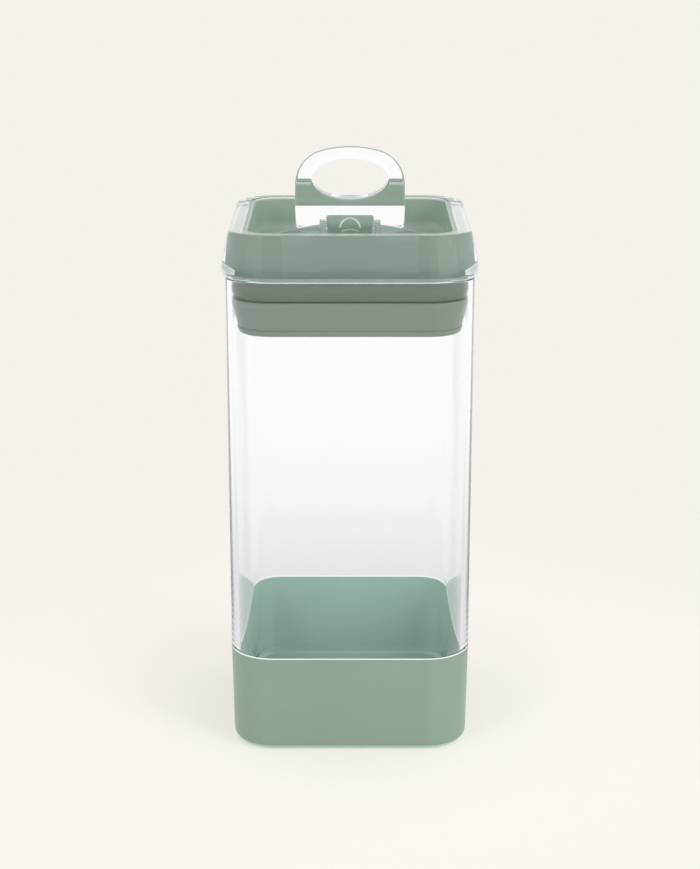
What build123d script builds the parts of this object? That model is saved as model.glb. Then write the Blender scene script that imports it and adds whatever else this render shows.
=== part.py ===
from build123d import *
from math import atan, cos, degrees, pi, radians, sin, tan
import os

os.makedirs("parts", exist_ok=True)

# Vacuum seal canister, in millimetres. The origin is on the table under the middle of the foot,
# +Z is up and the front, to which the handle folds down, faces -Y.

# Overall sizes
body_half = 52.15
body_corner = 19.0
jar_rim_z = 209.5
base_height = 43.5
lid_height = 19.4

# Clear jar
jar_wall = 2.2
jar_draft = 1.5
jar_floor = 3.0
jar_rim_round = 0.8
jar_floor_round = 4.0
jar_foot_round = 3.4
jar_fit = 0.15
jar_seam_gap = 0.25

# Green base shoe
base_taper = 0.75
base_rim_wall = 1.8
base_foot_wall = 1.6
base_floor = 3.0
base_edge_round = 5.0
base_rim_round = 0.4
base_pocket_round = 2.8
foot_ring_width = 4.0
foot_recess = 1.5

# Clear frame of the lid
lid_seat_gap = 0.2
frame_overhang = 1.9
frame_bulge_height = 3.3
frame_bulge_round = 5.0
frame_rise_taper = 3.55
frame_fall_taper = 1.0
frame_rim_width = 6.0
frame_draft = 0.8
frame_rim_round = 1.0
frame_foot_round = 0.8

# Green dished tray inside the frame
tray_fit = 0.1
tray_rim_drop = 0.5
tray_wall = 1.8
tray_floor_rise = 5.2
tray_dish_draft = 0.7
tray_dish_round = 4.0
tray_rim_round = 0.5
tray_floor = 2.5
flange_bore_gap = 0.6
flange_thickness = 2.0

# Clear disc on the tray's floor, on which the handle's cams turn
disc_margin = 5.4
disc_thickness = 3.0
disc_slot_gap = 1.25
disc_slot_front_gap = 0.5
disc_slot_round = 1.5
disc_edge_round = 0.5

# Silicone gasket and the green press plate that squeezes it
gasket_height = 8.7
gasket_bore_gap = 0.3
gasket_width = 6.0
gasket_round = 1.3
gasket_bulge = 0.9
plate_gap = 0.2
plate_height = 14.9
plate_bore_gap = 0.4
plate_taper = 3.2
plate_band = 2.2
plate_wall = 2.0
plate_hub_height = 4.0
plate_hub_wall = 1.6
plate_hub_gap = 0.3
socket_height = 1.5
socket_wall = 1.4
socket_fit = 0.1
cover_height = 2.6
cover_thickness = 1.6
cover_lip = 0.35
cover_round = 1.5
cover_rib_height = 2.0
cover_rib_wall = 1.4
cover_fit = 0.1

# Green pivot post, its pin and its screws
pin_height_over_disc = 6.1
post_width = 19.5
post_crown_radius = 4.8
post_edge_round = 0.5
guide_gap = 0.3
guide_wall = 1.5
guide_clearance = 0.8
knuckle_radius = 4.65
knuckle_drop = 0.35
knuckle_relief = 0.25
knuckle_foot_gap = 0.3
pin_radius = 1.25
pin_engagement = 2.2
pin_running_gap = 0.05
pin_end_gap = 0.3
screw_radius = 1.25
screw_reach = 9.0
screw_head_radius = 2.6
screw_head_height = 1.7
screw_socket_radius = 1.2
screw_socket_depth = 0.9
screw_pitch = 12.0

# Clear flip handle, upright
handle_half = 23.5
handle_tip_over_pin = 34.2
handle_back = 3.4
handle_tip_thickness = 2.6
handle_crown_radius = 48.0
handle_corner_radius = 14.5
handle_wing_under_pin = 1.3
handle_wing_arch = 3.0
handle_wing_round = 1.6
handle_edge_round = 0.9
handle_wedge_angle = 17.0
handle_keel_over_pin = 9.9
handle_keel_angle = 29.0
handle_keel_round = 1.2
lug_width = 3.0
lug_gap = 0.3
lug_heel_round = 3.0
lug_front_rise = 2.4
web_gap = 0.3
cam_gap = 0.3
cam_lift = 1.6
cam_steps = 8
hole_half_width = 16.3
hole_half_height = 8.2
hole_over_pin = 20.7

# One overrun serves every cut that runs out of its piece
overrun = 2.0


def draft_angle(change, height):
    """Angle in degrees of a wall whose half width changes by this much over this height."""
    return degrees(atan(change / height))


# Base shoe: a moulded cup with a drafted pocket, a raised floor and a foot ring.
base_foot_half = body_half - base_taper
base_draft = draft_angle(base_foot_half - body_half, base_height)
pocket_depth = base_height - base_floor
pocket_rim_half = body_half - base_rim_wall
pocket_rim_corner = body_corner - base_rim_wall
pocket_foot_half = base_foot_half - base_foot_wall
pocket_draft = draft_angle(pocket_rim_half - pocket_foot_half, pocket_depth)
recess_half = base_foot_half - base_edge_round - foot_ring_width
recess_corner = recess_half - (base_foot_half - body_corner)

with BuildPart() as base_shoe:
    with BuildSketch(Plane.XY):
        RectangleRounded(2 * base_foot_half, 2 * base_foot_half, body_corner - base_taper)
    extrude(amount=base_height, taper=base_draft)
    fillet(base_shoe.faces().sort_by(Axis.Z)[0].edges(), base_edge_round)
    fillet(base_shoe.faces().sort_by(Axis.Z)[-1].edges(), base_rim_round)
    with BuildSketch(Plane((0, 0, base_height), z_dir=(0, 0, -1))):
        RectangleRounded(2 * pocket_rim_half, 2 * pocket_rim_half, pocket_rim_corner)
    extrude(amount=pocket_depth, taper=pocket_draft, mode=Mode.SUBTRACT)
    fillet(base_shoe.faces().filter_by(Axis.Z).sort_by(Axis.Z)[1].edges(), base_pocket_round)
    with BuildSketch(Plane.XY):
        RectangleRounded(2 * recess_half, 2 * recess_half, recess_corner)
    extrude(amount=foot_recess, mode=Mode.SUBTRACT)
base_shoe.part.label = "base_shoe"
export_step(base_shoe.part, "parts/base_shoe.step")


# Jar: a straight outer wall above the seam, a drafted foot that stands in the shoe, and one
# drafted bore from the rim to the floor.
seam_z = base_height + jar_seam_gap
foot_rim_half = pocket_rim_half - jar_fit
foot_floor_half = pocket_foot_half - jar_fit
foot_draft = draft_angle(foot_floor_half - foot_rim_half, seam_z - base_floor)
foot_floor_corner = pocket_rim_corner - jar_fit - (foot_rim_half - foot_floor_half)
bore_half = body_half - jar_wall
bore_corner = body_corner - jar_wall
bore_depth = jar_rim_z - base_floor - jar_floor
bore_draft = draft_angle(jar_draft, bore_depth)

with BuildPart() as jar:
    with BuildSketch(Plane.XY.offset(base_floor)):
        RectangleRounded(2 * foot_floor_half, 2 * foot_floor_half, foot_floor_corner)
    extrude(amount=seam_z - base_floor, taper=foot_draft)
    fillet(jar.faces().sort_by(Axis.Z)[0].edges(), jar_foot_round)
    with BuildSketch(Plane.XY.offset(seam_z)):
        RectangleRounded(2 * body_half, 2 * body_half, body_corner)
    extrude(amount=jar_rim_z - seam_z)
    with BuildSketch(Plane((0, 0, jar_rim_z), z_dir=(0, 0, -1))):
        RectangleRounded(2 * bore_half, 2 * bore_half, bore_corner)
    extrude(amount=bore_depth, taper=bore_draft, mode=Mode.SUBTRACT)
    fillet(jar.faces().filter_by(Axis.Z).sort_by(Axis.Z)[1].edges(), jar_floor_round)
    fillet(jar.faces().sort_by(Axis.Z)[-1].edges(), jar_rim_round)
jar.part.label = "jar"
export_step(jar.part, "parts/jar.step")


# Lid frame: a thick clear ring, widest just above the jar's rim, with a rebate below for the
# tray's flange.
lid_bottom = jar_rim_z + lid_seat_gap
lid_top = lid_bottom + lid_height
bulge_z = lid_bottom + frame_bulge_height
frame_half = body_half + frame_overhang
frame_corner = body_corner + frame_overhang
well_half = frame_half - frame_rise_taper - frame_rim_width
well_corner = frame_corner - frame_rise_taper - frame_rim_width
well_draft = draft_angle(frame_draft, lid_height)
flange_half = bore_half - flange_bore_gap
flange_corner = bore_corner - flange_bore_gap
pocket_half = flange_half + tray_fit
pocket_corner = flange_corner + tray_fit
frame_rise_draft = draft_angle(frame_rise_taper, lid_height - frame_bulge_height)
frame_fall_draft = draft_angle(frame_fall_taper, frame_bulge_height)

with BuildPart() as lid_frame:
    with BuildSketch(Plane.XY.offset(bulge_z)):
        RectangleRounded(2 * frame_half, 2 * frame_half, frame_corner)
    extrude(amount=lid_height - frame_bulge_height, taper=frame_rise_draft)
    with BuildSketch(Plane((0, 0, bulge_z), z_dir=(0, 0, -1))):
        RectangleRounded(2 * frame_half, 2 * frame_half, frame_corner)
    extrude(amount=frame_bulge_height, taper=frame_fall_draft)
    fillet(lid_frame.edges().group_by(Axis.Z)[2], frame_bulge_round)
    fillet(lid_frame.faces().sort_by(Axis.Z)[-1].edges(), frame_rim_round)
    fillet(lid_frame.faces().sort_by(Axis.Z)[0].edges(), frame_foot_round)
    with BuildSketch(Plane.XY.offset(lid_top)):
        RectangleRounded(2 * well_half, 2 * well_half, well_corner)
    extrude(amount=-lid_height, taper=-well_draft, mode=Mode.SUBTRACT)
    with BuildSketch(Plane.XY.offset(lid_bottom)):
        RectangleRounded(2 * pocket_half, 2 * pocket_half, pocket_corner)
    extrude(amount=flange_thickness, mode=Mode.SUBTRACT)
    fillet(lid_frame.faces().sort_by(Axis.Z)[-1].inner_wires().edges(), frame_rim_round)
lid_frame.part.label = "lid_frame"
export_step(lid_frame.part, "parts/lid_frame.step")


# Lid tray: a dish with a flange below that carries the gasket, and a chimney under its floor in
# which the post slides.
tray_top = lid_top - tray_rim_drop
tray_floor_z = lid_bottom + tray_floor_rise
tray_under_z = tray_floor_z - tray_floor
tray_rim_half = well_half - tray_fit + frame_draft * tray_rim_drop / lid_height
tray_rim_corner = well_corner + tray_rim_half - well_half
tray_dish_half = tray_rim_half - tray_wall
tray_dish_corner = tray_rim_corner - tray_wall
dish_draft = draft_angle(tray_dish_draft, tray_top - tray_floor_z)
gasket_half = bore_half - gasket_bore_gap
gasket_corner = bore_corner - gasket_bore_gap
ring_half = gasket_half - gasket_width
ring_corner = gasket_corner - gasket_width
seat_half = ring_half - plate_hub_gap
seat_corner = ring_corner - plate_hub_gap
plate_top = lid_bottom - gasket_height - plate_gap
post_depth = 2 * post_crown_radius
guide_width = post_width + 2 * guide_gap
guide_depth = post_depth + 2 * guide_gap
guide_bottom = plate_top + socket_height + cam_lift + guide_clearance

with BuildPart() as lid_tray:
    with BuildSketch(Plane.XY.offset(tray_top)):
        RectangleRounded(2 * tray_rim_half, 2 * tray_rim_half, tray_rim_corner)
    extrude(amount=lid_bottom - tray_top, taper=-well_draft)
    with BuildSketch(Plane.XY.offset(lid_bottom)):
        RectangleRounded(2 * flange_half, 2 * flange_half, flange_corner)
    extrude(amount=flange_thickness - tray_fit)
    with BuildSketch(Plane((0, 0, tray_top), z_dir=(0, 0, -1))):
        RectangleRounded(2 * tray_dish_half, 2 * tray_dish_half, tray_dish_corner)
    extrude(amount=tray_top - tray_floor_z, taper=dish_draft, mode=Mode.SUBTRACT)
    fillet(lid_tray.faces().filter_by(Axis.Z).sort_by(Axis.Z)[2].edges(), tray_dish_round)
    fillet(lid_tray.faces().sort_by(Axis.Z)[-1].inner_wires().edges(), tray_rim_round)
    with BuildSketch(Plane.XY.offset(lid_bottom)):
        RectangleRounded(2 * seat_half, 2 * seat_half, seat_corner)
    extrude(amount=tray_under_z - lid_bottom, mode=Mode.SUBTRACT)
    with BuildSketch(Plane.XY.offset(guide_bottom)):
        Rectangle(guide_width + 2 * guide_wall, guide_depth + 2 * guide_wall)
    extrude(amount=tray_under_z - guide_bottom + tray_floor / 2)
    with BuildSketch(Plane.XY.offset(guide_bottom)):
        Rectangle(guide_width, guide_depth)
    extrude(amount=tray_floor_z - guide_bottom, mode=Mode.SUBTRACT)
lid_tray.part.label = "lid_tray"
export_step(lid_tray.part, "parts/lid_tray.step")


# Wear disc: lies on the tray's floor, slotted from the post to the back.
disc_top = tray_floor_z + disc_thickness
disc_radius = tray_dish_half - tray_dish_draft - disc_margin
slot_front = -post_crown_radius - disc_slot_front_gap
slot_back = disc_radius + overrun

with BuildPart() as wear_disc:
    with BuildSketch(Plane.XY.offset(tray_floor_z)) as disc_outline:
        Circle(disc_radius)
        with Locations((0, (slot_back + slot_front) / 2)):
            Rectangle(post_width + 2 * disc_slot_gap, slot_back - slot_front, mode=Mode.SUBTRACT)
        fillet(disc_outline.vertices(), disc_slot_round)
    extrude(amount=disc_thickness)
    fillet(wear_disc.faces().sort_by(Axis.Z)[-1].edges(), disc_edge_round)
wear_disc.part.label = "wear_disc"
export_step(wear_disc.part, "parts/wear_disc.step")


# Gasket: a silicone ring whose outer face swells gently to a line half way up, with rounded edges.
bulge_line_z = lid_bottom - gasket_height / 2
bulge_draft = draft_angle(gasket_bulge, gasket_height / 2)

with BuildPart() as gasket:
    with BuildSketch(Plane.XY.offset(bulge_line_z)):
        RectangleRounded(2 * gasket_half, 2 * gasket_half, gasket_corner)
    extrude(amount=gasket_height / 2, taper=bulge_draft)
    with BuildSketch(Plane((0, 0, bulge_line_z), z_dir=(0, 0, -1))):
        RectangleRounded(2 * gasket_half, 2 * gasket_half, gasket_corner)
    extrude(amount=gasket_height / 2, taper=bulge_draft)
    fillet(gasket.faces().sort_by(Axis.Z)[-1].edges(), gasket_round)
    fillet(gasket.faces().sort_by(Axis.Z)[0].edges(), gasket_round)
    with BuildSketch(Plane.XY.offset(lid_bottom - gasket_height)):
        RectangleRounded(2 * ring_half, 2 * ring_half, ring_corner)
    extrude(amount=gasket_height, mode=Mode.SUBTRACT)
gasket.part.label = "gasket"
export_step(gasket.part, "parts/gasket.step")


# Press plate: a shell open below, with a hub that holds the gasket's shape and a socket for the
# post. Its side narrows towards the bottom so that it drops into the jar easily.
plate_half = bore_half - plate_bore_gap
plate_corner = bore_corner - plate_bore_gap
plate_draft = draft_angle(plate_taper, plate_height - plate_band)
shell_height = plate_height - plate_band - cover_height
hub_half = ring_half - plate_hub_gap
hub_corner = ring_corner - plate_hub_gap
cavity_half = plate_half - plate_wall
cavity_corner = plate_corner - plate_wall

with BuildPart() as press_plate:
    with BuildSketch(Plane((0, 0, plate_top), z_dir=(0, 0, -1))):
        RectangleRounded(2 * plate_half, 2 * plate_half, plate_corner)
    extrude(amount=plate_band)
    with BuildSketch(Plane((0, 0, plate_top - plate_band), z_dir=(0, 0, -1))):
        RectangleRounded(2 * plate_half, 2 * plate_half, plate_corner)
    extrude(amount=shell_height, taper=plate_draft)
    fillet(press_plate.faces().sort_by(Axis.Z)[-1].edges(), post_edge_round)
    with BuildSketch(Plane((0, 0, plate_top - plate_band), z_dir=(0, 0, -1))):
        RectangleRounded(2 * cavity_half, 2 * cavity_half, cavity_corner)
    extrude(amount=shell_height, taper=plate_draft, mode=Mode.SUBTRACT)
    with BuildSketch(Plane.XY.offset(plate_top)):
        RectangleRounded(2 * hub_half, 2 * hub_half, hub_corner)
        offset(amount=-plate_hub_wall, mode=Mode.SUBTRACT)
    extrude(amount=plate_hub_height)
    with BuildSketch(Plane.XY.offset(plate_top)):
        Rectangle(post_width + 2 * (socket_fit + socket_wall), post_depth + 2 * (socket_fit + socket_wall))
        Rectangle(post_width + 2 * socket_fit, post_depth + 2 * socket_fit, mode=Mode.SUBTRACT)
    extrude(amount=socket_height)
    with BuildSketch(Plane.XY.offset(plate_top)):
        with GridLocations(screw_pitch, 0, 2, 1):
            Circle(screw_radius)
    extrude(amount=-plate_band, mode=Mode.SUBTRACT)
press_plate.part.label = "press_plate"
export_step(press_plate.part, "parts/press_plate.step")


# Plate cover: the food side cover, with a lip that stands just proud and a rib that fits inside
# the press plate's wall.
cover_top = plate_top - plate_band - shell_height
cover_rim_half = plate_half - plate_taper * shell_height / (plate_height - plate_band)
cover_rim_corner = plate_corner + cover_rim_half - plate_half
rib_half = cover_rim_half - plate_wall - cover_fit
rib_corner = cover_rim_corner - plate_wall - cover_fit
rib_inner_half = rib_half - cover_rib_wall
rib_inner_corner = rib_corner - cover_rib_wall
lip_half = cover_rim_half + cover_lip
lip_corner = cover_rim_corner + cover_lip

with BuildPart() as plate_cover:
    with BuildSketch(Plane((0, 0, cover_top), z_dir=(0, 0, -1))):
        RectangleRounded(2 * lip_half, 2 * lip_half, lip_corner)
    extrude(amount=cover_height, taper=plate_draft)
    fillet(plate_cover.faces().sort_by(Axis.Z)[0].edges(), cover_round)
    with BuildSketch(Plane.XY.offset(cover_top)):
        RectangleRounded(2 * rib_half, 2 * rib_half, rib_corner)
    extrude(amount=cover_rib_height)
    with BuildSketch(Plane.XY.offset(cover_top - cover_height + cover_thickness)):
        RectangleRounded(2 * rib_inner_half, 2 * rib_inner_half, rib_inner_corner)
    extrude(amount=cover_height - cover_thickness + cover_rib_height, mode=Mode.SUBTRACT)
plate_cover.part.label = "plate_cover"
export_step(plate_cover.part, "parts/plate_cover.step")


# Knuckle: the arched boss on the post's front. It is turned about the hinge pin like the post's
# crown, so the handle's web swings past both, and it stops just above the disc.
pin_z = disc_top + pin_height_over_disc
knuckle_z = pin_z - knuckle_drop
knuckle_foot_z = disc_top + knuckle_foot_gap
knuckle_depth = post_crown_radius + knuckle_relief

with BuildPart() as knuckle:
    with BuildSketch(Plane.XZ):
        with Locations((0, knuckle_z)):
            Circle(knuckle_radius)
        with Locations((0, (knuckle_z + knuckle_foot_z) / 2)):
            Rectangle(2 * knuckle_radius, knuckle_z - knuckle_foot_z)
    extrude(amount=knuckle_depth)
    with BuildSketch(Plane.YZ):
        with Locations((0, pin_z)):
            Circle(knuckle_depth)
        with Locations((0, (pin_z + knuckle_foot_z) / 2)):
            Rectangle(2 * knuckle_depth, pin_z - knuckle_foot_z)
    extrude(amount=knuckle_radius, both=True, mode=Mode.INTERSECT)


# Pivot post: a block with a full round crown about the hinge pin, and the knuckle on its front.
with BuildPart() as pivot_post:
    with BuildSketch(Plane.YZ):
        with Locations((0, (plate_top + pin_z) / 2)):
            Rectangle(post_depth, pin_z - plate_top)
        with Locations((0, pin_z)):
            Circle(post_crown_radius)
    extrude(amount=post_width / 2, both=True)
    fillet(pivot_post.faces().filter_by(Axis.X).edges().filter_by(GeomType.CIRCLE), post_edge_round)
    add(knuckle.part)
    with BuildSketch(Plane.YZ):
        with Locations((0, pin_z)):
            Circle(pin_radius)
    extrude(amount=post_width, both=True, mode=Mode.SUBTRACT)
    with BuildSketch(Plane.XY.offset(plate_top)):
        with GridLocations(screw_pitch, 0, 2, 1):
            Circle(screw_radius)
    extrude(amount=screw_reach, mode=Mode.SUBTRACT)
pivot_post.part.label = "pivot_post"
export_step(pivot_post.part, "parts/pivot_post.step")


# Hinge pin: pressed through the post, with both ends in the handle's lugs.
lug_inner = post_width / 2 + lug_gap
pin_half = lug_inner + pin_engagement

with BuildPart() as hinge_pin:
    with BuildSketch(Plane.YZ):
        with Locations((0, pin_z)):
            Circle(pin_radius)
    extrude(amount=pin_half, both=True)
hinge_pin.part.label = "hinge_pin"
export_step(hinge_pin.part, "parts/hinge_pin.step")


# Post screws: two pan head screws up through the press plate into the post.
screw_head_z = plate_top - plate_band

with BuildPart() as post_screws:
    with BuildSketch(Plane.XY.offset(screw_head_z)):
        with GridLocations(screw_pitch, 0, 2, 1):
            Circle(screw_radius)
    extrude(amount=plate_band + screw_reach)
    with BuildSketch(Plane.XY.offset(screw_head_z)):
        with GridLocations(screw_pitch, 0, 2, 1):
            Circle(screw_head_radius)
    extrude(amount=-screw_head_height)
    with BuildSketch(Plane.XY.offset(screw_head_z - screw_head_height)):
        with GridLocations(screw_pitch, 0, 2, 1):
            RegularPolygon(screw_socket_radius, 6)
    extrude(amount=screw_socket_depth, mode=Mode.SUBTRACT)
post_screws.part.label = "post_screws"
export_step(post_screws.part, "parts/post_screws.step")


# Flip handle, upright: a blade that thickens down to a keel line and thins again below it, with a
# finger hole, and two cam lugs beside the post. The cam is an involute, which lifts the pin at a
# constant rate as it turns.
cam_base = pin_height_over_disc - cam_gap
cam_rate = cam_lift / (pi / 2)
tip_z = pin_z + handle_tip_over_pin
crown_side_z = tip_z - handle_crown_radius + (handle_crown_radius ** 2 - handle_half ** 2) ** 0.5
wing_z = pin_z - handle_wing_under_pin
lug_outer = lug_inner + lug_width
notch_top = pin_z + knuckle_depth + web_gap
lug_bottom = pin_z - cam_base
tip_front = handle_back - handle_tip_thickness
keel_z = pin_z + handle_keel_over_pin
keel_front = tip_front - (tip_z - keel_z) * tan(radians(handle_wedge_angle))
foot_front = keel_front + (keel_z - lug_bottom) * tan(radians(handle_keel_angle))


def cam_point(turn):
    """Point of the cam, across and up from the pin, that touches the disc after this turn."""
    reach = cam_base + cam_rate * turn
    across = -reach * sin(turn) - cam_rate * cos(turn)
    up = -reach * cos(turn) + cam_rate * sin(turn)
    return across, pin_z + up


cam_line = [cam_point(pi / 2 * (cam_steps - step) / cam_steps) for step in range(cam_steps + 1)]
heel_corner = (handle_back, lug_bottom)
keel_corner = (keel_front, keel_z)
lug_front_z = cam_line[0][1] + lug_front_rise
lug_front_y = keel_front + (keel_z - lug_front_z) * tan(radians(handle_keel_angle))

with BuildPart() as flip_handle:
    with BuildSketch(Plane.XZ) as front:
        with BuildLine():
            ThreePointArc((-handle_half, crown_side_z), (0, tip_z), (handle_half, crown_side_z))
            Line((-handle_half, crown_side_z), (-handle_half, wing_z))
            ThreePointArc((-handle_half, wing_z), (0, wing_z + handle_wing_arch), (handle_half, wing_z))
            Line((handle_half, wing_z), (handle_half, crown_side_z))
        make_face()
        fillet(front.vertices().group_by(Axis.Y)[0], handle_wing_round)
        fillet(front.vertices().group_by(Axis.Y)[-1], handle_corner_radius)
        with Locations((0, (lug_bottom + notch_top) / 2)):
            Rectangle(2 * lug_inner, notch_top - lug_bottom, mode=Mode.SUBTRACT)
        with Locations((0, pin_z + hole_over_pin)):
            Ellipse(hole_half_width, hole_half_height, mode=Mode.SUBTRACT)
    extrude(amount=body_half, both=True)
    with BuildSketch(Plane.YZ) as side:
        Polygon((foot_front, lug_bottom), heel_corner, (handle_back, tip_z), (tip_front, tip_z),
                keel_corner, align=None)
        fillet(side.vertices().sort_by_distance(keel_corner)[0], handle_keel_round)
    extrude(amount=body_half, both=True, mode=Mode.INTERSECT)
    fillet(flip_handle.edges(), handle_edge_round)
    with BuildSketch(Plane.YZ.offset(lug_inner), Plane.YZ.offset(-lug_outer)) as lug:
        with BuildLine():
            Polyline(cam_line[-1], heel_corner, (handle_back, lug_front_z), (lug_front_y, lug_front_z),
                     cam_line[0])
            Spline(cam_line, tangents=((0, -1), (1, 0)))
        make_face()
        fillet(lug.vertices().sort_by_distance(heel_corner)[0], lug_heel_round)
    extrude(amount=lug_width)
    with BuildSketch(Plane.YZ):
        with Locations((0, pin_z)):
            Circle(pin_radius + pin_running_gap)
    extrude(amount=pin_half + pin_end_gap, both=True, mode=Mode.SUBTRACT)
flip_handle.part.label = "flip_handle"
export_step(flip_handle.part, "parts/flip_handle.step")
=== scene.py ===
import bmesh
import bpy
import math
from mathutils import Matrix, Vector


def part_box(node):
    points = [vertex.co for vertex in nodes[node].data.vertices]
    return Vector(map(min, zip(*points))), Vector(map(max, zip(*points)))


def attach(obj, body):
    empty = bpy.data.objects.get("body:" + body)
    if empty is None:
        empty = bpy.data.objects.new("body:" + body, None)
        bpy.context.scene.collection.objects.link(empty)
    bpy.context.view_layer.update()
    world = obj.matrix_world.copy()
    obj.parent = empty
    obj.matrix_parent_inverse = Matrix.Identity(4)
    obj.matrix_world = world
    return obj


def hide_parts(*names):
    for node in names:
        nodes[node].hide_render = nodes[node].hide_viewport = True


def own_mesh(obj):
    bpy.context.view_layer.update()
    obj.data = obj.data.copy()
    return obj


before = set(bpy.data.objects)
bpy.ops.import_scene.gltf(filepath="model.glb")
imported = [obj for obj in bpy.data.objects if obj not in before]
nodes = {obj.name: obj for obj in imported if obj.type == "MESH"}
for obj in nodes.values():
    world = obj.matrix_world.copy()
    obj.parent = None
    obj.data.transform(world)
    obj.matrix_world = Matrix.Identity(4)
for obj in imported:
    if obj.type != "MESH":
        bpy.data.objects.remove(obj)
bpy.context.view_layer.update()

# The camera stands a little above the lid, straight in front, as for the photograph.
# Its lens and tilt were worked out from the corners of the lid and of the foot.
camera_data = bpy.data.cameras.new("camera")
camera_data.lens = 80.9
camera_data.sensor_width = 36.0
camera = bpy.data.objects.new("camera", camera_data)
bpy.context.collection.objects.link(camera)
camera.location = (0.0, -0.835, 0.3764)
camera.rotation_euler = (math.radians(73.56), 0, 0)
scene = bpy.context.scene
scene.camera = camera
scene.view_settings.view_transform = "Standard"
# Light inside thick acrylic turns many times before it leaves, so it may do so here.
scene.cycles.max_bounces = 32
scene.cycles.glossy_bounces = 24
scene.cycles.transmission_bounces = 24


# The shoe is the coloured foot of the canister, a square cup moulded in sage green plastic.
# Its outside is satin, with the fine grain of the mould, and the pigment drifts a little.
# The jar is snapped into it, so it is seen from inside through the clear jar as well.
def add_node(tree, kind, task=None, **values):
    """Adds one shader node, with its operation and its inputs set by name."""
    made = tree.nodes.new(kind)
    if task:
        made.operation = task
    for name, value in values.items():
        made.inputs[name.replace("_", " ")].default_value = value
    return made


def wire(tree, *pairs):
    """Links the first of each pair, an output, to the second, an input."""
    for start, end in pairs:
        tree.links.new(start, end)


def combine(tree, task, first, second):
    """One value worked out from two."""
    made = add_node(tree, "ShaderNodeMath", task)
    wire(tree, (first, made.inputs[0]), (second, made.inputs[1]))
    return made.outputs[0]


def moulded_skin(name, grain, grain_depth, wave, wave_depth, polish):
    """A moulded part's skin: mould grain over slow waves, and a polish that varies with the grain."""
    material = bpy.data.materials.new(name)
    material.use_nodes = True
    tree = material.node_tree
    skin = tree.nodes["Principled BSDF"]
    place = add_node(tree, "ShaderNodeTexCoord")
    fine = add_node(tree, "ShaderNodeTexNoise", Scale=grain, Detail=3.0, Roughness=0.6)
    slow = add_node(tree, "ShaderNodeTexNoise", Scale=wave, Detail=1.0, Roughness=0.4)
    rub = add_node(tree, "ShaderNodeTexNoise", Scale=wave * 2.5, Detail=5.0, Roughness=0.65)
    waves = add_node(tree, "ShaderNodeBump", Strength=1.0, Distance=wave_depth)
    grains = add_node(tree, "ShaderNodeBump", Strength=1.0, Distance=grain_depth)
    worn = add_node(
        tree, "ShaderNodeMapRange", From_Min=0.3, From_Max=0.7, To_Min=polish[0], To_Max=polish[1]
    )
    wire(
        tree,
        *((place.outputs["Object"], texture.inputs["Vector"]) for texture in (fine, slow, rub)),
        (slow.outputs["Fac"], waves.inputs["Height"]),
        (fine.outputs["Fac"], grains.inputs["Height"]),
        (waves.outputs["Normal"], grains.inputs["Normal"]),
        (grains.outputs["Normal"], skin.inputs["Normal"]),
        (rub.outputs["Fac"], worn.inputs["Value"]),
        (worn.outputs["Result"], skin.inputs["Roughness"]),
    )
    return material, tree, skin, place


def corner_distance(tree, place):
    """How far a point lies outside the middles of the canister's four rounded corners."""
    steps = [
        add_node(tree, "ShaderNodeVectorMath", task)
        for task in ("ABSOLUTE", "SUBTRACT", "MAXIMUM", "MULTIPLY", "LENGTH")
    ]
    steps[1].inputs[1].default_value = (corner_centre, corner_centre, 0.0)
    steps[2].inputs[1].default_value = (0.0, 0.0, 0.0)
    steps[3].inputs[1].default_value = (1.0, 1.0, 0.0)
    wire(tree, (place.outputs["Object"], steps[0].inputs[0]))
    wire(tree, *((before.outputs[0], after.inputs[0]) for before, after in zip(steps, steps[1:])))
    return steps[4].outputs["Value"]


def green_plastic(name, colour, polish=(0.28, 0.36), drift=0.03, inner_round=0.0, inner_painted_light=None):
    """Sage green moulded plastic: satin, with a faint drift of the pigment.

    A hollow piece's inner faces, inside the given corner round, are painted paler: painted light that
    stands for the light the clear piece in it lets in.
    """
    material, tree, skin, place = moulded_skin(name, 1400.0, 0.000005, 28.0, 0.00003, polish)
    pigment = add_node(tree, "ShaderNodeTexNoise", Scale=24.0, Detail=4.0, Roughness=0.55)
    shades = add_node(tree, "ShaderNodeValToRGB")
    low, high = shades.color_ramp.elements
    low.position, high.position = 0.32, 0.68
    low.color = (*(part * (1 - drift) for part in colour), 1.0)
    high.color = (*(part * (1 + drift) for part in colour), 1.0)
    wire(
        tree,
        (place.outputs["Object"], pigment.inputs["Vector"]),
        (pigment.outputs["Fac"], shades.inputs["Fac"]),
        (shades.outputs["Color"], skin.inputs["Base Color"]),
    )
    # Painted light: the inner faces' colour is raised by the given gains.
    if inner_painted_light:
        inside = add_node(
            tree, "ShaderNodeMapRange", From_Min=inner_round - 0.0001, From_Max=inner_round + 0.0001,
            To_Min=1.0, To_Max=0.0,
        )
        extra = add_node(tree, "ShaderNodeVectorMath", "SCALE")
        extra.inputs[0].default_value = [gain - 1.0 for gain in inner_painted_light]
        painted_lift = add_node(tree, "ShaderNodeVectorMath", "MULTIPLY_ADD")
        wire(
            tree,
            (corner_distance(tree, place), inside.inputs["Value"]),
            (inside.outputs["Result"], extra.inputs["Scale"]),
            (shades.outputs["Color"], painted_lift.inputs[0]),
            (extra.outputs[0], painted_lift.inputs[1]),
            (shades.outputs["Color"], painted_lift.inputs[2]),
            (painted_lift.outputs[0], skin.inputs["Base Color"]),
        )
    return material


def dress(piece, material):
    """Gives a CAD node its finish."""
    for place in nodes[piece].material_slots:
        place.material = material


sage = (0.261, 0.366, 0.296)
corner_centre = 0.03315
# The shoe's inner faces are painted paler by these gains: painted light.
dress("base_shoe", green_plastic("shoe_green", sage, inner_round=0.0176, inner_painted_light=(1.75, 1.9, 1.95)))


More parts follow.
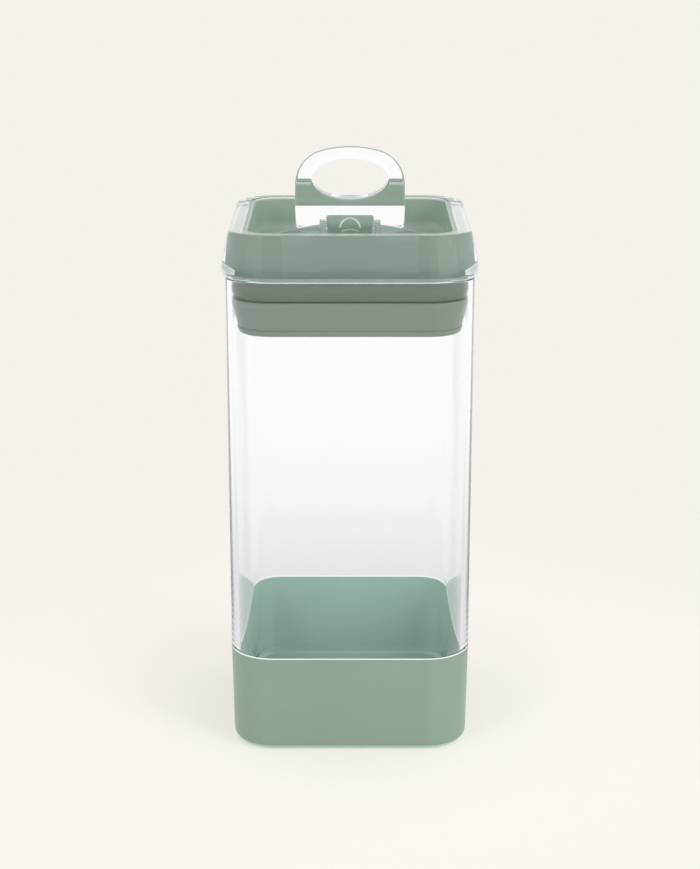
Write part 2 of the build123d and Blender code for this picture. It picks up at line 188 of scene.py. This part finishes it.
# The jar is one clear acrylic shell with a thick moulded floor, polished inside and out.
# It stands in the green shoe with its wall flush with the shoe's, and is open at the top.
# It is clear right through, with slow flow waves from the mould and a faintly uneven polish.
def clear_acrylic(name, wave, wave_depth, polish=(0.0, 0.03)):
    """Clear moulded acrylic. It lets lamps through, so that what stands inside is lit."""
    material, tree, skin, _ = moulded_skin(name, 800.0, 0.0000003, wave, wave_depth, polish)
    skin.inputs["Base Color"].default_value = (0.997, 0.999, 1.0, 1.0)
    skin.inputs["Transmission Weight"].default_value = 1.0
    skin.inputs["IOR"].default_value = 1.49
    ray = add_node(tree, "ShaderNodeLightPath")
    lamp_ray = combine(tree, "MAXIMUM", ray.outputs["Is Shadow Ray"], ray.outputs["Is Diffuse Ray"])
    passing = add_node(tree, "ShaderNodeBsdfTransparent", Color=(0.97, 0.975, 0.975, 1.0))
    either = add_node(tree, "ShaderNodeMixShader")
    wire(
        tree,
        (lamp_ray, either.inputs[0]),
        (skin.outputs["BSDF"], either.inputs[1]),
        (passing.outputs["BSDF"], either.inputs[2]),
        (either.outputs["Shader"], tree.nodes["Material Output"].inputs["Surface"]),
    )
    return material


dress("jar", clear_acrylic("jar_acrylic", 16.0, 0.00005))


# The lid frame is a clear acrylic ring with a bulge that stands out over the jar's wall.
# It is pressed over the green tray and touches it at the corners, with a thin air gap along the
# flats, so the green fills its front and its two sides stay clear.
sweep_half = 0.036


def square_ring(name, outline, material):
    """Sweeps a closed outline of (half width, height) points round the canister's rounded square."""
    section = bpy.data.meshes.new(name + "_section")
    count = len(outline)
    section.from_pydata(
        [(half - sweep_half, -height, 0.0) for half, height in outline],
        [(i, (i + 1) % count) for i in range(count)],
        [],
    )
    ring = bpy.data.objects.new(name, section)
    bpy.context.collection.objects.link(ring)
    tree = bpy.data.node_groups.new(name + "_sweep", "GeometryNodeTree")
    tree.interface.new_socket("Geometry", in_out="INPUT", socket_type="NodeSocketGeometry")
    side = tree.interface.new_socket("Side", in_out="INPUT", socket_type="NodeSocketFloat")
    corner = tree.interface.new_socket("Corner", in_out="INPUT", socket_type="NodeSocketFloat")
    tree.interface.new_socket("Geometry", in_out="OUTPUT", socket_type="NodeSocketGeometry")
    given = tree.nodes.new("NodeGroupInput")
    result = tree.nodes.new("NodeGroupOutput")
    square = tree.nodes.new("GeometryNodeCurvePrimitiveQuadrilateral")
    rounding = tree.nodes.new("GeometryNodeFilletCurve")
    rounding.mode = "POLY"
    rounding.inputs["Count"].default_value = 28
    drawn = tree.nodes.new("GeometryNodeMeshToCurve")
    swept = tree.nodes.new("GeometryNodeCurveToMesh")
    real = tree.nodes.new("GeometryNodeRealizeInstances")
    coat = tree.nodes.new("GeometryNodeSetMaterial")
    coat.inputs["Material"].default_value = material
    wire(
        tree,
        (given.outputs["Side"], square.inputs["Width"]),
        (given.outputs["Side"], square.inputs["Height"]),
        (square.outputs["Curve"], rounding.inputs["Curve"]),
        (given.outputs["Corner"], rounding.inputs["Radius"]),
        (given.outputs["Geometry"], drawn.inputs["Mesh"]),
        (rounding.outputs["Curve"], swept.inputs["Curve"]),
        (drawn.outputs["Curve"], swept.inputs["Profile Curve"]),
        (swept.outputs["Mesh"], real.inputs["Geometry"]),
        (real.outputs["Geometry"], coat.inputs["Geometry"]),
        (coat.outputs["Geometry"], result.inputs["Geometry"]),
    )
    modifier = ring.modifiers.new("sweep", "NODES")
    modifier.node_group = tree
    modifier[side.identifier] = 2 * sweep_half
    modifier[corner.identifier] = sweep_half - corner_centre
    bpy.context.view_layer.update()
    seen = ring.evaluated_get(bpy.context.evaluated_depsgraph_get())
    made = bpy.data.meshes.new_from_object(seen)
    ring.modifiers.clear()
    shell = bmesh.new()
    shell.from_mesh(made)
    bmesh.ops.remove_doubles(shell, verts=shell.verts, dist=1e-6)
    bmesh.ops.recalc_face_normals(shell, faces=shell.faces)
    shell.to_mesh(made)
    shell.free()
    made.shade_smooth()
    ring.data = made
    return ring


def quarter_round(centre, radius, start, steps=8):
    """Points of a quarter circle, from the angle start, in degrees, turning anticlockwise."""
    points = []
    for step in range(steps + 1):
        turn = math.radians(start + 90 * step / steps)
        points.append((centre[0] + radius * math.cos(turn), centre[1] + radius * math.sin(turn)))
    return points


def within_box(tree, spans):
    """Shader value that is 1 where |x|, |y| and |z| are each within the reach of their middle."""
    split = add_node(tree, "ShaderNodeSeparateXYZ")
    wire(tree, (tree.nodes["Texture Coordinate"].outputs["Object"], split.inputs[0]))
    shares = []
    for letter, (middle, reach) in zip("XYZ", spans):
        size = add_node(tree, "ShaderNodeMath", "ABSOLUTE")
        within = add_node(tree, "ShaderNodeMath", "COMPARE")
        within.inputs[1].default_value = middle
        within.inputs[2].default_value = reach
        wire(tree, (split.outputs[letter], size.inputs[0]), (size.outputs[0], within.inputs[0]))
        shares.append(within.outputs[0])
    return combine(tree, "MULTIPLY", combine(tree, "MULTIPLY", shares[0], shares[1]), shares[2])


# The foot is made opaque white along the left and right walls only, where the photograph shows the rim
# white: painted light.
frame_acrylic = clear_acrylic("frame_acrylic", 40.0, 0.00001)
tree = frame_acrylic.node_tree
painted_foot_span = ((0.0484, 0.0040), (0.0, 0.033), (0.21055, 0.00095))
# Painted light: transmission is turned off inside the box, so the foot shows opaque white there.
painted_white_foot = add_node(tree, "ShaderNodeMapRange", To_Min=1.0, To_Max=0.0)
wire(
    tree,
    (within_box(tree, painted_foot_span), painted_white_foot.inputs["Value"]),
    (painted_white_foot.outputs["Result"], tree.nodes["Principled BSDF"].inputs["Transmission Weight"]),
)

# The outline runs out along the foot, up the bulge and the sloped wall, over the rim and down
# the inner wall to the roof over the tray's flange.
bulge = [
    (0.05335, 0.21065), (0.05362, 0.21150), (0.05380, 0.21230), (0.05388, 0.21305),
    (0.05388, 0.21345), (0.05382, 0.21400), (0.05367, 0.21470),
]
roof_z = 0.2114
frame_outline = (
    [(0.0497, 0.2097), (0.0522, 0.2097)]
    + quarter_round((0.05245, 0.2105), 0.0008, 270)[1:-1]
    + bulge
    + [(0.05367 - 0.003 * step / 12, 0.2147 + 0.0136 * step / 12) for step in range(1, 12)]
    + quarter_round((0.0497, 0.2281), 0.001, 10, 9)[:-1]
    + [(half, 0.2291) for half in (0.0487, 0.0477, 0.0467, 0.0457)]
    + quarter_round((0.04535, 0.22805), 0.00105, 90)
    + [(0.0443 + 0.0007 * step / 6, 0.2275 - 0.0161 * step / 6) for step in range(7)]
    + [(0.0492, roof_z), (0.0497, 0.2112)]
)
clear_frame = square_ring("clear_frame", frame_outline, frame_acrylic)

# Between the contacts at the corners, the inner wall stands off the tray by the air gap.
air_gap, gap_end, contact_start, inner_wall = 0.0003, 0.0280, 0.0285, 0.0452
shell = bmesh.new()
shell.from_mesh(clear_frame.data)
for across, along in ((1.0, 0.0), (0.0, 1.0)):
    for place in (-contact_start, -gap_end, gap_end, contact_start):
        bmesh.ops.bisect_plane(
            shell, geom=shell.verts[:] + shell.edges[:] + shell.faces[:],
            plane_co=(across * place, along * place, 0.0), plane_no=(across, along, 0.0),
        )
for point in shell.verts:
    x, y, z = point.co
    off_corner = min(abs(x), abs(y)) < gap_end + 0.00001
    if off_corner and max(abs(x), abs(y)) < inner_wall and 0.2120 < z < 0.2278:
        if abs(x) > abs(y):
            point.co.x += math.copysign(air_gap, x)
        else:
            point.co.y += math.copysign(air_gap, y)
shell.to_mesh(clear_frame.data)
shell.free()
clear_frame.data.shade_smooth()
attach(clear_frame, "lid_head")
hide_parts("lid_frame")

# The tray is the green dish of the lid, moulded in the same plastic as the shoe.
# Its flange below carries the gasket, and its chimney leads the post. The flange's top is painted pale
# under the frame's left and right walls, as the white rim of the photograph asks: a band of painted
# light.
tray_sage = tuple(part * 0.80 for part in sage)
flange_painted_light_span = ((0.0469, 0.0025), (0.0, 0.037), (0.2117, 0.0002))
# The dish's inner faces are painted paler by these gains: painted light.
tray_green = green_plastic(
    "tray_green", tray_sage, (0.2, 0.28), inner_round=0.0101, inner_painted_light=(1.8, 1.68, 1.72)
)


def paint(material, share, colour):
    """Lays a plain colour over a plastic where the share is 1."""
    tree = material.node_tree
    under = tree.nodes["Principled BSDF"].inputs["Base Color"]
    coat = add_node(tree, "ShaderNodeMix")
    coat.data_type = "RGBA"
    coat.inputs["B"].default_value = (*colour, 1.0)
    wire(
        tree,
        (share, coat.inputs["Factor"]),
        (under.links[0].from_socket, coat.inputs["A"]),
        (coat.outputs["Result"], under),
    )


# Painted light: the flange's top is painted near white inside this box.
paint(tray_green, within_box(tray_green.node_tree, flange_painted_light_span), (0.9, 0.93, 0.92))
dress("lid_tray", tray_green)

# The wear disc is a clear acrylic washer on the tray's floor, open at the back round the post.
# The handle's cams turn on it, so its top has faint round rubbing marks. It is a little milky,
# and its rim is frosted, so it shows as a pale line.
disc_acrylic = clear_acrylic("disc_acrylic", 60.0, 0.00001)
tree = disc_acrylic.node_tree
place = tree.nodes["Texture Coordinate"]
skin = tree.nodes["Principled BSDF"]
skin.inputs["Base Color"].default_value = (0.78, 0.85, 0.81, 1.0)
rings = add_node(tree, "ShaderNodeTexWave", Scale=260.0, Distortion=1.5, Detail=2.0)
rings.wave_type = "RINGS"
rings.rings_direction = "Z"
marks = add_node(tree, "ShaderNodeBump", Strength=1.0, Distance=0.0000015)
level = add_node(tree, "ShaderNodeVectorMath", "MULTIPLY")
level.inputs[1].default_value = (1.0, 1.0, 0.0)
reach = add_node(tree, "ShaderNodeVectorMath", "LENGTH")
disc_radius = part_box("wear_disc")[1][0]
frosted = add_node(
    tree, "ShaderNodeMapRange", From_Min=disc_radius - 0.0008, From_Max=disc_radius - 0.0004,
    To_Min=0.8, To_Max=0.1,
)
wire(
    tree,
    (place.outputs["Object"], rings.inputs["Vector"]),
    (rings.outputs["Fac"], marks.inputs["Height"]),
    (skin.inputs["Normal"].links[0].from_socket, marks.inputs["Normal"]),
    (marks.outputs["Normal"], skin.inputs["Normal"]),
    (place.outputs["Object"], level.inputs[0]),
    (level.outputs[0], reach.inputs[0]),
    (reach.outputs["Value"], frosted.inputs["Value"]),
    (frosted.outputs["Result"], skin.inputs["Transmission Weight"]),
)
dress("wear_disc", disc_acrylic)

# The gasket is a soft silicone ring between the tray and the press plate, pale grey green.
# Its outer face swells to the jar's wall half way up, and it swells more when it is squeezed.
gasket_low, gasket_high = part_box("gasket")
ring_foot, ring_top = gasket_low[2], gasket_high[2]
ring_half, ring_width = gasket_high[0], 0.006
lip_round, swell, swell_steps = 0.0012, 0.0009, 14
swell_low, swell_high = ring_foot + lip_round, ring_top - lip_round
ring_outline = (
    quarter_round((ring_half - swell - lip_round, swell_low), lip_round, 270)
    + [
        (
            ring_half - swell * abs(2 * step / swell_steps - 1) ** 1.8,
            swell_low + (swell_high - swell_low) * step / swell_steps,
        )
        for step in range(1, swell_steps)
    ]
    + quarter_round((ring_half - swell - lip_round, swell_high), lip_round, 0)
    + [(ring_half - ring_width, ring_top), (ring_half - ring_width, ring_foot)]
)
ring_silicone, _, silicone_skin, _ = moulded_skin(
    "ring_silicone", 1100.0, 0.00001, 60.0, 0.00004, (0.42, 0.55)
)
# Its colour is painted much darker than that pale tone: painted shade from the lid above it.
silicone_skin.inputs["Base Color"].default_value = (0.113, 0.150, 0.103, 1.0)
gasket_ring = square_ring("gasket_ring", ring_outline, ring_silicone)
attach(gasket_ring, "lid_head")
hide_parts("gasket")
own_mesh(gasket_ring)

# The post is the green block in the middle of the lid, with an arched knuckle on its front.
# It slides in the tray's chimney and holds the pin; two screws from below fix it to the plate.
post_green = green_plastic("post_green", tuple(part * 1.05 for part in sage), (0.16, 0.24), 0.02)
tree = post_green.node_tree
split = add_node(tree, "ShaderNodeSeparateXYZ")
wire(tree, (tree.nodes["Texture Coordinate"].outputs["Object"], split.inputs[0]))


def arc_line(height, radius, width):
    """Shader value that is 1 on a thin circle, seen from the front, about a point at this height."""
    shift = add_node(tree, "ShaderNodeVectorMath", "SUBTRACT")
    shift.inputs[1].default_value = (0.0, 0.0, height)
    flatten = add_node(tree, "ShaderNodeVectorMath", "MULTIPLY")
    flatten.inputs[1].default_value = (1.0, 0.0, 1.0)
    reach = add_node(tree, "ShaderNodeVectorMath", "LENGTH")
    off = add_node(tree, "ShaderNodeMath", "SUBTRACT")
    off.inputs[1].default_value = radius
    size = add_node(tree, "ShaderNodeMath", "ABSOLUTE")
    line = add_node(
        tree, "ShaderNodeMapRange", From_Min=width * 0.5, From_Max=width, To_Min=1.0, To_Max=0.0
    )
    wire(
        tree,
        (tree.nodes["Texture Coordinate"].outputs["Object"], shift.inputs[0]),
        (shift.outputs[0], flatten.inputs[0]),
        (flatten.outputs[0], reach.inputs[0]),
        (reach.outputs["Value"], off.inputs[0]),
        (off.outputs[0], size.inputs[0]),
        (size.outputs[0], line.inputs["Value"]),
    )
    return line.outputs["Result"]


# Two painted highlights on the knuckle's front, bright lines painted into its colour: along its arched
# edge, and a short arc below it.
size = add_node(tree, "ShaderNodeMath", "ABSOLUTE")
above_pin = add_node(tree, "ShaderNodeMapRange", From_Min=0.2236, From_Max=0.2250)
in_arch = add_node(
    tree, "ShaderNodeMapRange", From_Min=0.0034, From_Max=0.0039, To_Min=0.7, To_Max=0.0
)
in_front = add_node(
    tree, "ShaderNodeMapRange", From_Min=-0.0045, From_Max=-0.0018, To_Min=1.0, To_Max=0.0
)
wire(
    tree,
    (split.outputs["Z"], above_pin.inputs["Value"]),
    (split.outputs["X"], size.inputs[0]),
    (size.outputs[0], in_arch.inputs["Value"]),
    (split.outputs["Y"], in_front.inputs["Value"]),
)
knuckle_edge_highlight = combine(tree, "MULTIPLY", arc_line(0.22365, 0.0044, 0.00042), above_pin.outputs["Result"])
low_arc_highlight = combine(tree, "MULTIPLY", arc_line(0.2153, 0.0081, 0.00028), in_arch.outputs["Result"])
painted_highlights = combine(tree, "MAXIMUM", knuckle_edge_highlight, low_arc_highlight)
# The painted highlights are laid on in a pale green.
paint(post_green, combine(tree, "MULTIPLY", painted_highlights, in_front.outputs["Result"]), (0.80, 0.92, 0.85))
dress("pivot_post", post_green)

# The flip handle is one clear acrylic blade with a finger hole and two small cam lugs.
# It stands up when the lid is loose, and folds forward over the dish to lock it.
dress("flip_handle", clear_acrylic("handle_acrylic", 50.0, 0.00001))

# The hinge pin is a short clear rod through the post, with its ends in the handle's lugs.
# It is pressed into the post, and the handle turns on its ends.
dress("hinge_pin", clear_acrylic("pin_acrylic", 90.0, 0.000005))

# The press plate is the green plate under the gasket, moulded hollow and open below.
# The post draws it up, and it squeezes the gasket against the tray.
plate_sage = (0.184, 0.236, 0.190)
dress("press_plate", green_plastic("plate_green", plate_sage, (0.3, 0.38)))

# Two stainless screws hold the press plate to the post, one each side of the middle.
# Their heads are turned, so their steel has a fine grain.
screw_steel, _, steel_skin, _ = moulded_skin(
    "screw_steel", 2600.0, 0.000003, 200.0, 0.000004, (0.22, 0.34)
)
steel_skin.inputs["Base Color"].default_value = (0.62, 0.61, 0.59, 1.0)
steel_skin.inputs["Metallic"].default_value = 1.0
dress("post_screws", screw_steel)

# The plate cover closes the press plate from below, on the food's side.
# It is pressed in behind a low lip and hides the screws.
dress("plate_cover", green_plastic("cover_green", plate_sage, (0.3, 0.38)))

# The floor is one plain pale sheet that runs back out of the picture.
# Close to the canister it takes the light itself, so the canister's soft shadow stays on it,
# and clear parts and gloss see it as the white table of the photograph, with a painted shadow
# that is grey close to the canister and in front of it and fades to white far behind it.
paper = (0.904, 0.880, 0.823)
floor_sheet = bpy.data.meshes.new("floor")
floor_reach = 12
floor_sheet.from_pydata(
    [(x * floor_reach, y * floor_reach, 0) for x, y in ((-1, -1), (1, -1), (1, 1), (-1, 1))],
    [],
    [(0, 1, 2, 3)],
)
floor = bpy.data.objects.new("floor", floor_sheet)
bpy.context.collection.objects.link(floor)
floor_paper = bpy.data.materials.new("floor_paper")
floor_paper.use_nodes = True
tree = floor_paper.node_tree
tree.nodes.clear()
place = add_node(tree, "ShaderNodeTexCoord")
ray = add_node(tree, "ShaderNodeLightPath")
away = add_node(tree, "ShaderNodeVectorMath", "LENGTH")
near = add_node(tree, "ShaderNodeMapRange", From_Min=0.06, From_Max=0.34, To_Min=0.55, To_Max=0.0)
near.interpolation_type = "SMOOTHSTEP"
lit = add_node(tree, "ShaderNodeBsdfDiffuse", Color=(*paper, 1.0))
glow = add_node(tree, "ShaderNodeEmission", Color=(*paper, 1.0), Strength=0.165)
lit_and_glow = add_node(tree, "ShaderNodeAddShader")
flat = add_node(tree, "ShaderNodeEmission", Color=(*paper, 1.0))
seen = add_node(tree, "ShaderNodeMixShader")
split = add_node(tree, "ShaderNodeSeparateXYZ")
# Painted shadow for clear parts and gloss: the table's grey rises to white with distance behind the
# canister.
painted_shadow_ramp = add_node(tree, "ShaderNodeValToRGB")
painted_shadow_ramp.color_ramp.elements[0].position = 0.13
painted_shadow_ramp.color_ramp.elements[0].color = (0.78, 0.78, 0.79, 1)
painted_shadow_ramp.color_ramp.elements[1].color = (1.0, 1.0, 1.0, 1)
for at, grey in ((0.18, 0.86), (0.24, 0.925), (0.40, 0.985), (0.53, 1.0)):
    painted_shadow_ramp.color_ramp.elements.new(at).color = (grey, grey, min(grey * 1.01, 1.0), 1)
table_with_painted_shadow = add_node(tree, "ShaderNodeEmission")
clear_ray = combine(tree, "MAXIMUM", ray.outputs["Is Glossy Ray"], ray.outputs["Is Transmission Ray"])
eye_or_light = add_node(tree, "ShaderNodeMixShader")
all_rays = add_node(tree, "ShaderNodeMixShader")
out = add_node(tree, "ShaderNodeOutputMaterial")
wire(
    tree,
    (place.outputs["Object"], away.inputs[0]),
    (away.outputs["Value"], near.inputs["Value"]),
    (lit.outputs[0], lit_and_glow.inputs[0]),
    (glow.outputs[0], lit_and_glow.inputs[1]),
    (near.outputs["Result"], seen.inputs[0]),
    (flat.outputs[0], seen.inputs[1]),
    (lit_and_glow.outputs[0], seen.inputs[2]),
    (place.outputs["Object"], split.inputs[0]),
    (split.outputs["Y"], painted_shadow_ramp.inputs["Fac"]),
    (painted_shadow_ramp.outputs["Color"], table_with_painted_shadow.inputs["Color"]),
    (ray.outputs["Is Camera Ray"], eye_or_light.inputs[0]),
    (lit.outputs[0], eye_or_light.inputs[1]),
    (seen.outputs[0], eye_or_light.inputs[2]),
    (clear_ray, all_rays.inputs[0]),
    (eye_or_light.outputs[0], all_rays.inputs[1]),
    (table_with_painted_shadow.outputs[0], all_rays.inputs[2]),
    (all_rays.outputs[0], out.inputs["Surface"]),
)
floor_sheet.materials.append(floor_paper)

# The light is a white studio room and a large soft lamp on each side, brighter to its middle.
# The room is darker behind the camera, which draws the edges of the clear parts in grey.
room = bpy.data.worlds.new("room")
bpy.context.scene.world = room
room.use_nodes = True
tree = room.node_tree
tree.nodes.clear()
place = add_node(tree, "ShaderNodeTexCoord")
ray = add_node(tree, "ShaderNodeLightPath")
split = add_node(tree, "ShaderNodeSeparateXYZ")
behind = add_node(tree, "ShaderNodeMapRange", From_Min=-1.0, From_Max=-0.25, To_Min=0.6, To_Max=1.0)
behind.interpolation_type = "SMOOTHSTEP"
above = add_node(tree, "ShaderNodeMapRange", From_Min=0.0, From_Max=1.0, To_Min=0.50, To_Max=0.98)
front = add_node(tree, "ShaderNodeMapRange", From_Min=-1.0, From_Max=-0.2, To_Min=0.62, To_Max=1.0)
front.interpolation_type = "SMOOTHSTEP"
level = combine(tree, "MULTIPLY", above.outputs["Result"], front.outputs["Result"])
clear_ray = combine(tree, "MAXIMUM", ray.outputs["Is Glossy Ray"], ray.outputs["Is Transmission Ray"])
fill = add_node(tree, "ShaderNodeBackground")
white_room = add_node(tree, "ShaderNodeBackground")
backdrop = add_node(tree, "ShaderNodeBackground", Color=(*paper, 1.0))
lit_or_clear = add_node(tree, "ShaderNodeMixShader")
all_rays = add_node(tree, "ShaderNodeMixShader")
out = add_node(tree, "ShaderNodeOutputWorld")
for white in (fill, white_room):
    white.inputs["Color"].default_value = (1.0, 1.0, 1.0, 1.0)
wire(
    tree,
    (place.outputs["Generated"], split.inputs[0]),
    (split.outputs["Y"], behind.inputs["Value"]),
    (split.outputs["Z"], above.inputs["Value"]),
    (split.outputs["Y"], front.inputs["Value"]),
    (level, fill.inputs["Strength"]),
    (behind.outputs["Result"], white_room.inputs["Strength"]),
    (clear_ray, lit_or_clear.inputs[0]),
    (fill.outputs[0], lit_or_clear.inputs[1]),
    (white_room.outputs[0], lit_or_clear.inputs[2]),
    (ray.outputs["Is Camera Ray"], all_rays.inputs[0]),
    (lit_or_clear.outputs[0], all_rays.inputs[1]),
    (backdrop.outputs[0], all_rays.inputs[2]),
    (all_rays.outputs[0], out.inputs["Surface"]),
)


def soft_lamp(name, place, aim, size, power):
    """A large rectangular lamp that looks at a point of the canister."""
    lamp = bpy.data.lights.new(name, "AREA")
    lamp.shape = "RECTANGLE"
    lamp.size, lamp.size_y = size
    lamp.energy = power
    holder = bpy.data.objects.new(name, lamp)
    bpy.context.collection.objects.link(holder)
    holder.location = place
    gaze = [a - p for a, p in zip(aim, place)]
    level = math.hypot(gaze[0], gaze[1])
    holder.rotation_euler = (math.pi / 2 + math.atan2(gaze[2], level), 0, math.atan2(-gaze[0], gaze[1]))


# Each side's lamp is four sheets of falling width in one place, so its light fades to its edges.
middle = (0.0, 0.0, 0.15)
for number, width in enumerate((1.15, 0.85, 0.55, 0.25), 1):
    soft_lamp(f"right_lamp_{number}", (0.85, -0.85, 0.55), middle, (width, 0.9), 2.2)
    soft_lamp(f"left_lamp_{number}", (-0.78, -0.92, 0.55), middle, (width * 0.8, 0.9), 1.15)
